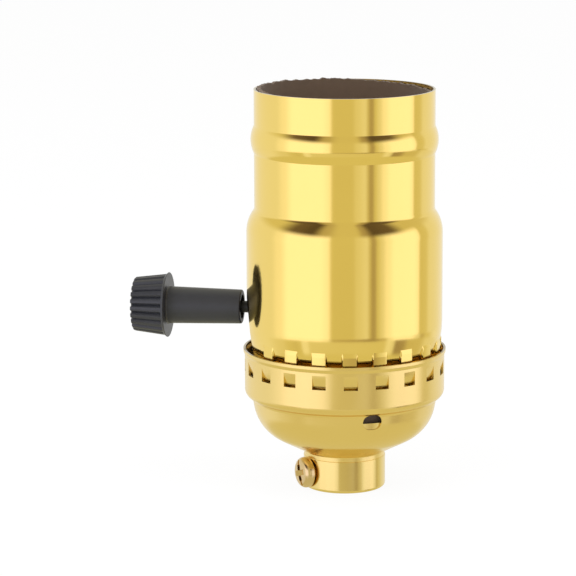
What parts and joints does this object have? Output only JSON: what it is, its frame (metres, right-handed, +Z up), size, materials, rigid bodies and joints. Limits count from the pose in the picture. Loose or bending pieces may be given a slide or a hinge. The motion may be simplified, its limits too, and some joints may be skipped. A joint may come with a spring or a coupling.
{
  "type": "turn-knob lamp holder",
  "caption": "Screw-base lamp holder with a gilt metal shell, snap-fit cap, threaded bush with set screw, and a turn knob on its side.",
  "frame": {"origin": "centre of the bush's lower face, where the threaded pipe enters", "axes": "+Z up the holder's axis towards the lamp, -X along the knob's spindle towards the knob"},
  "size_m": [0.059, 0.038, 0.0752],
  "materials": {
    "gilt_shell": "bright gold anodised, smooth and mirror-like",
    "gilt_cap": "bright gold anodised, slightly softer than the shell",
    "gilt_bush": "bright turned metal, lacquered",
    "screw_brass": "plain turned brass",
    "brown_card": "dark brown insulating card",
    "black_moulding": "black phenolic moulding",
    "red_fibre": "vulcanised fibre",
    "contact_brass": "bright brass strip",
    "contact_bronze": "phosphor bronze",
    "plated_terminal": "nickel plated",
    "spring_steel": "blued spring steel",
    "black_spindle": "blackened steel",
    "pale_moulding": "natural nylon",
    "black_knob": "black moulded plastic with a faint sheen"
  },
  "bodies": {
    "holder": {"shell": "gilt_shell", "shell_sleeve": "brown_card", "cap": "gilt_cap", "cap_lining": "brown_card", "bush": "gilt_bush", "switch_body": "black_moulding", "switch_cover": "black_moulding", "fibre_disc": "red_fibre", "screw_shell": "contact_brass", "centre_contact": "contact_bronze", "centre_rivet": "contact_brass", "shell_rivets": "contact_brass", "hot_terminal": "contact_brass", "neutral_terminal": "plated_terminal", "fixed_contact": "contact_bronze", "spring_contact": "contact_bronze", "click_spring": "spring_steel", "spindle_bearing": "contact_brass"},
    "switch": {"knob": "black_knob", "spindle": "black_spindle", "spindle_clip": "spring_steel", "switch_cam": "pale_moulding"},
    "set_screw": {"set_screw": "screw_brass"},
    "hot_screw": {"hot_terminal_screw": "screw_brass"},
    "neutral_screw": {"neutral_terminal_screw": "plated_terminal"}
  },
  "joints": [
    {"name": "knob_turn", "type": "hinge", "parent": "holder", "child": "switch", "pos_m": [0, 0, 0.0337], "axis": [-1, 0, 0], "continuous": true},
    {"name": "set_screw_turn", "type": "hinge", "parent": "holder", "child": "set_screw", "pos_m": [-0.00624, -0.0046, 0.0033], "axis": [0.8049, 0.5934, 0], "range_deg": [-1080, 150]},
    {"name": "hot_screw_turn", "type": "hinge", "parent": "holder", "child": "hot_screw", "pos_m": [0, 0.0114, 0.0315], "axis": [0, -1, 0], "range_deg": [-1080, 0]},
    {"name": "neutral_screw_turn", "type": "hinge", "parent": "holder", "child": "neutral_screw", "pos_m": [0, -0.0114, 0.0315], "axis": [0, 1, 0], "range_deg": [-1080, 0]}
  ]
}
